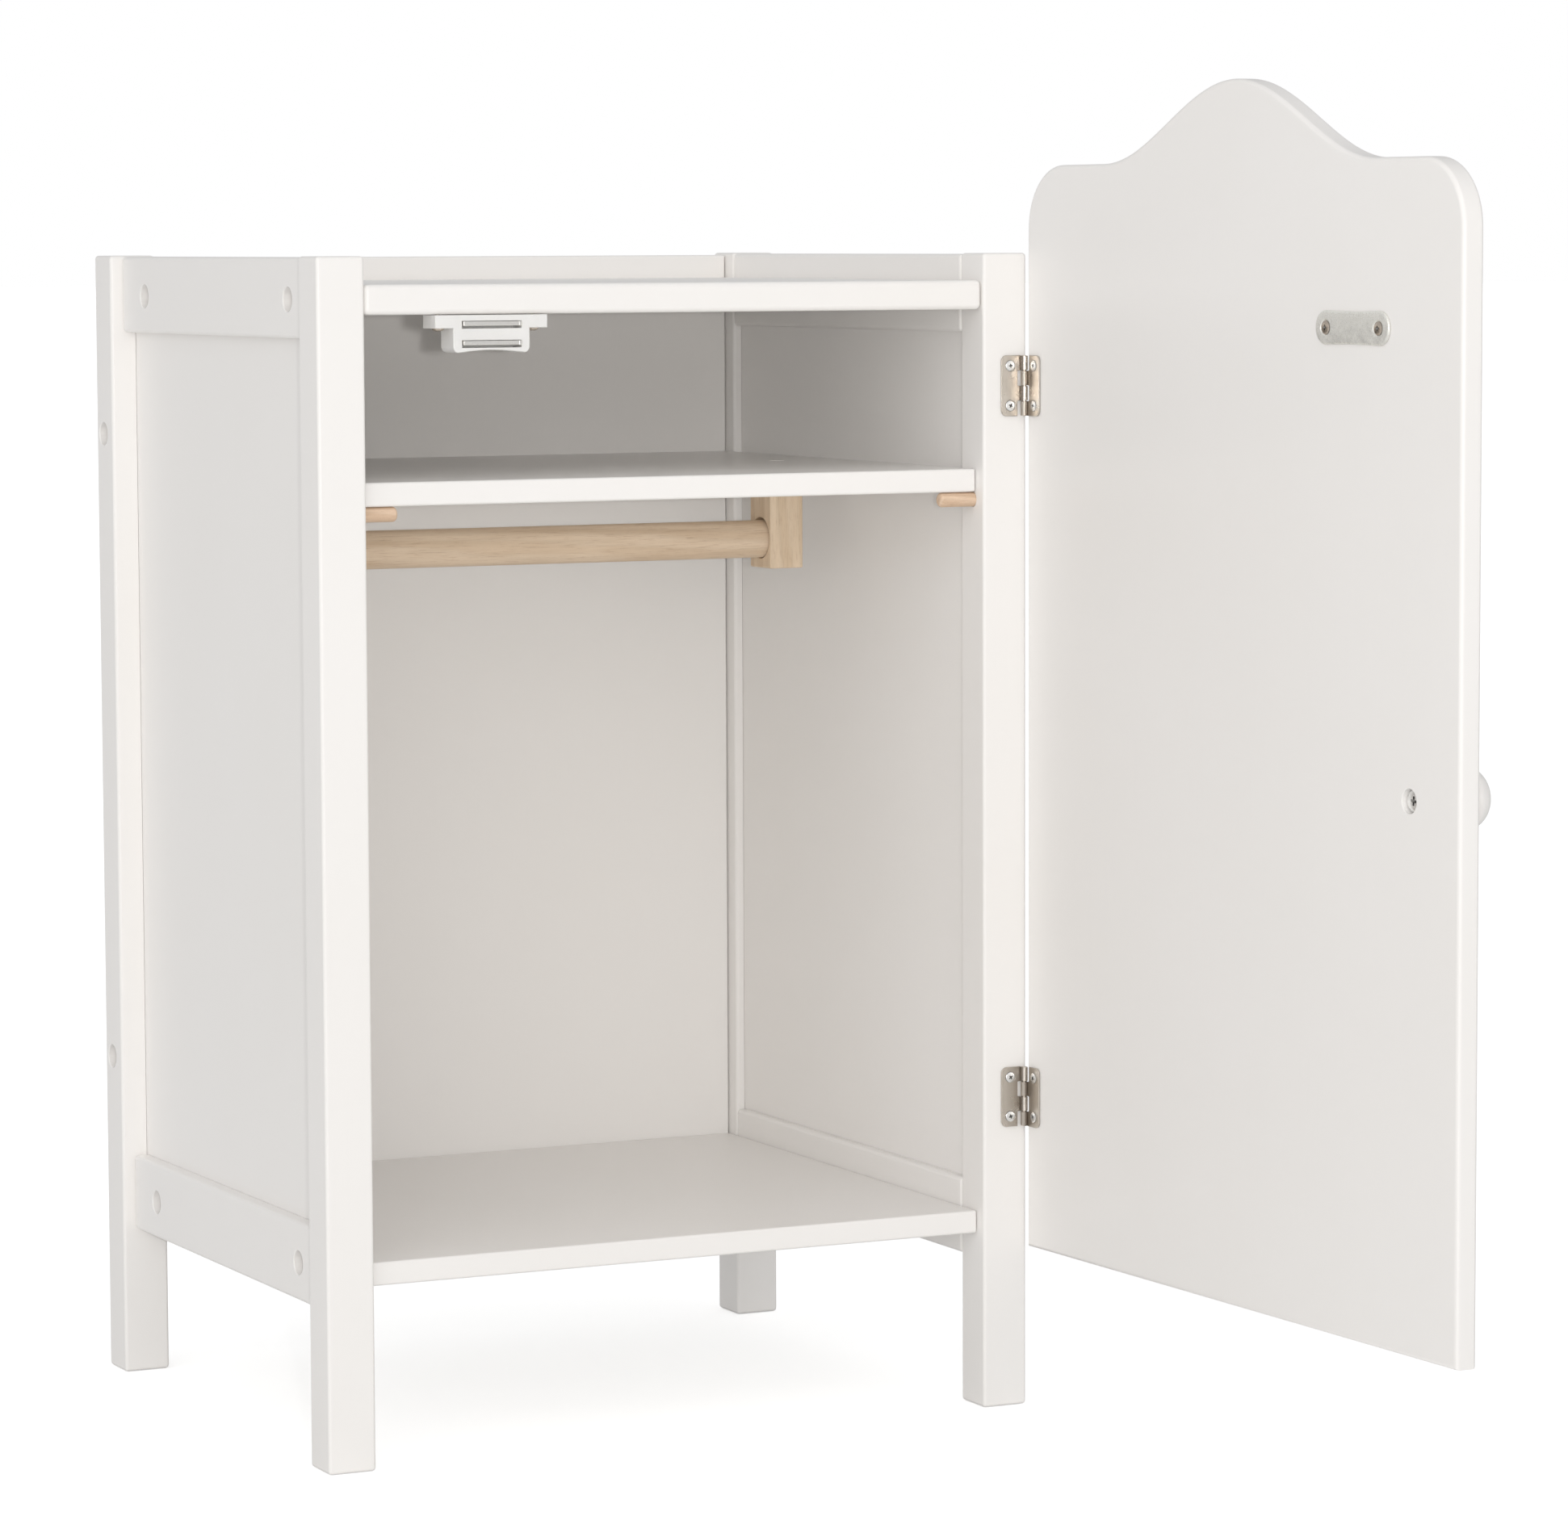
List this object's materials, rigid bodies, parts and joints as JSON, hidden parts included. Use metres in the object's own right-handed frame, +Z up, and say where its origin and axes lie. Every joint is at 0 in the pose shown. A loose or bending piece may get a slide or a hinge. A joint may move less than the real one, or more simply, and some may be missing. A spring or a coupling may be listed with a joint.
{
  "type": "miniature wardrobe",
  "caption": "Dolls' wardrobe on four square feet: crested overlay door on butt hinges, loose shelf on pegs carrying a round clothes rail, sunk top, magnetic catch.",
  "frame": {"origin": "on the floor under the middle of the whole object's box, with the door standing open as in the rest pose", "axes": "+Z up, -Y out of the open front, +X towards the hinge side on the right"},
  "size_m": [0.358, 0.5666, 0.5472],
  "materials": {
    "white_paint": "satin white paint over board and turned edges",
    "knob_paint": "satin white paint on turned wood",
    "rod_wood": "bare fine-grained dowel, grain along the rod",
    "block_wood": "bare sanded block, grain upright",
    "peg_wood": "bare dowel peg with rounded nose",
    "hinge_nickel": "thin warm nickel plate, a little dull",
    "catch_plastic": "moulded white plastic",
    "pole_steel": "plain steel pole strip",
    "strike_steel": "zinc-plated pressed steel",
    "screw_zinc": "bright zinc-plated cross-head screws"
  },
  "bodies": {
    "cabinet": {"post_front_left": "white_paint", "post_back_left": "white_paint", "post_front_right": "white_paint", "post_back_right": "white_paint", "side_rail_top_left": "white_paint", "side_rail_bottom_left": "white_paint", "side_rail_top_right": "white_paint", "side_rail_bottom_right": "white_paint", "side_panel_left": "white_paint", "side_panel_right": "white_paint", "back_panel": "white_paint", "top_board": "white_paint", "base_board": "white_paint", "shelf_peg_front_left": "peg_wood", "shelf_peg_front_right": "peg_wood", "shelf_peg_back_left": "peg_wood", "shelf_peg_back_right": "peg_wood", "hinge_leaf_post_lower": "hinge_nickel", "hinge_leaf_post_upper": "hinge_nickel", "hinge_pin_lower": "hinge_nickel", "hinge_pin_upper": "hinge_nickel", "catch_body": "catch_plastic", "catch_pole_upper": "pole_steel", "catch_pole_lower": "pole_steel", "screw_rail_top_left_1": "screw_zinc", "screw_rail_top_left_2": "screw_zinc", "screw_rail_bottom_left_1": "screw_zinc", "screw_rail_bottom_left_2": "screw_zinc", "screw_rail_top_right_1": "screw_zinc", "screw_rail_top_right_2": "screw_zinc", "screw_rail_bottom_right_1": "screw_zinc", "screw_rail_bottom_right_2": "screw_zinc", "screw_back_left_1": "screw_zinc", "screw_back_left_2": "screw_zinc", "screw_back_right_1": "screw_zinc", "screw_back_right_2": "screw_zinc", "screw_hinge_post_lower_1": "screw_zinc", "screw_hinge_post_lower_2": "screw_zinc", "screw_hinge_post_upper_1": "screw_zinc", "screw_hinge_post_upper_2": "screw_zinc", "screw_catch_1": "screw_zinc", "screw_catch_2": "screw_zinc"},
    "door_leaf": {"door": "white_paint", "knob": "knob_paint", "screw_knob": "screw_zinc", "strike_plate": "strike_steel", "screw_strike_1": "screw_zinc", "screw_strike_2": "screw_zinc", "hinge_leaf_door_lower": "hinge_nickel", "hinge_leaf_door_upper": "hinge_nickel", "screw_hinge_door_lower_1": "screw_zinc", "screw_hinge_door_lower_2": "screw_zinc", "screw_hinge_door_upper_1": "screw_zinc", "screw_hinge_door_upper_2": "screw_zinc"},
    "shelf_unit": {"middle_shelf": "white_paint", "rail_block_left": "block_wood", "rail_block_right": "block_wood", "screw_block_left": "screw_zinc", "screw_block_right": "screw_zinc"},
    "rail_rod": {"clothes_rail": "rod_wood"}
  },
  "joints": [
    {"name": "door_swing", "type": "hinge", "parent": "cabinet", "child": "door_leaf", "pos_m": [0.13209, 0.02464, 0], "axis": [0, 0, 1], "range_deg": [-92.4, 40]},
    {"name": "shelf_lift", "type": "slide", "parent": "cabinet", "child": "shelf_unit", "axis": [0, 0, 1], "range_m": [0, 0.048]},
    {"name": "rail_spin", "type": "hinge", "parent": "shelf_unit", "child": "rail_rod", "pos_m": [-0.02251, 0.15484, 0.3582], "axis": [1, 0, 0], "continuous": true}
  ]
}
